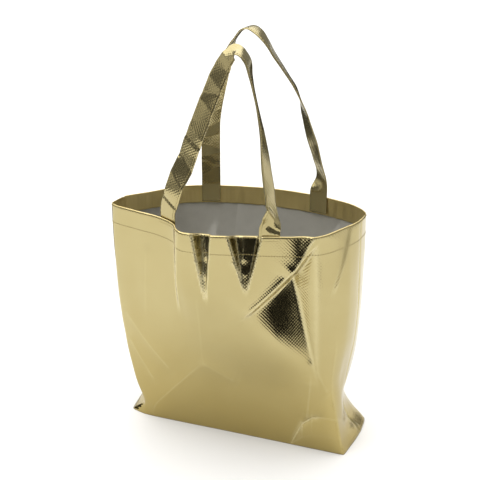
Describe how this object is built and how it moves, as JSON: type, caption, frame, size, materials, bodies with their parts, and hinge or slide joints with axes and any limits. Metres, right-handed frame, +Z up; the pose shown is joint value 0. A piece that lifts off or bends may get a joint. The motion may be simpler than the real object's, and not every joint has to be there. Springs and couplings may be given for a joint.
{
  "type": "gift bag",
  "caption": "Open soft tote bag of metallised cloth with a flat boxed base, side seams, a turned-in hem and sewn strap handles.",
  "frame": {"origin": "middle of the base, on the surface that the bag stands on", "axes": "+Z up out of the mouth, +X along the bag's width to the right as seen from the front, and the front faces -Y"},
  "size_m": [0.328, 0.1776, 0.5147],
  "materials": {
    "gold_laminate": "gloss",
    "cloth_back": "matte",
    "sewing_thread": "matte"
  },
  "bodies": {
    "bag": {"base_panel": "gold_laminate", "left_corner_stitch": "sewing_thread", "left_hem_facing": "gold_laminate", "left_hem_stitch": "sewing_thread", "left_rim_stitch": "sewing_thread", "left_seam_allowance": "cloth_back", "left_seam_stitch": "sewing_thread", "left_side_front": "gold_laminate", "left_side_rear": "gold_laminate", "right_corner_stitch": "sewing_thread", "right_hem_facing": "gold_laminate", "right_hem_stitch": "sewing_thread", "right_rim_stitch": "sewing_thread", "right_seam_allowance": "cloth_back", "right_seam_stitch": "sewing_thread", "right_side_front": "gold_laminate", "right_side_rear": "gold_laminate"},
    "front": {"front_hem_facing": "gold_laminate", "front_hem_stitch": "sewing_thread", "front_left_foot_stitch": "sewing_thread", "front_left_strap_end": "gold_laminate", "front_panel": "gold_laminate", "front_right_foot_stitch": "sewing_thread", "front_right_strap_end": "gold_laminate", "front_rim_stitch": "sewing_thread"},
    "rear": {"rear_hem_facing": "gold_laminate", "rear_hem_stitch": "sewing_thread", "rear_left_foot_stitch": "sewing_thread", "rear_left_strap_end": "gold_laminate", "rear_panel": "gold_laminate", "rear_right_foot_stitch": "sewing_thread", "rear_right_strap_end": "gold_laminate", "rear_rim_stitch": "sewing_thread"},
    "front_handle": {"front_strap": "gold_laminate", "front_strap_edge_stitch": "sewing_thread"},
    "rear_handle": {"rear_strap": "gold_laminate", "rear_strap_edge_stitch": "sewing_thread"}
  },
  "joints": [
    {"name": "mouth_front", "type": "hinge", "parent": "bag", "child": "front", "pos_m": [0, -0.045, 0.0005], "axis": [-1, 0, 0], "range_deg": [0, 5]},
    {"name": "mouth_rear", "type": "hinge", "parent": "bag", "child": "rear", "pos_m": [0, 0.045, 0.0005], "axis": [1, 0, 0], "range_deg": [0, 5]},
    {"name": "front_handle_swing", "type": "hinge", "parent": "front", "child": "front_handle", "pos_m": [0, -0.0865, 0.2996], "axis": [1, 0, 0], "range_deg": [0, 165]},
    {"name": "rear_handle_swing", "type": "hinge", "parent": "rear", "child": "rear_handle", "pos_m": [0, 0.0865, 0.2996], "axis": [-1, 0, 0], "range_deg": [0, 165]}
  ]
}
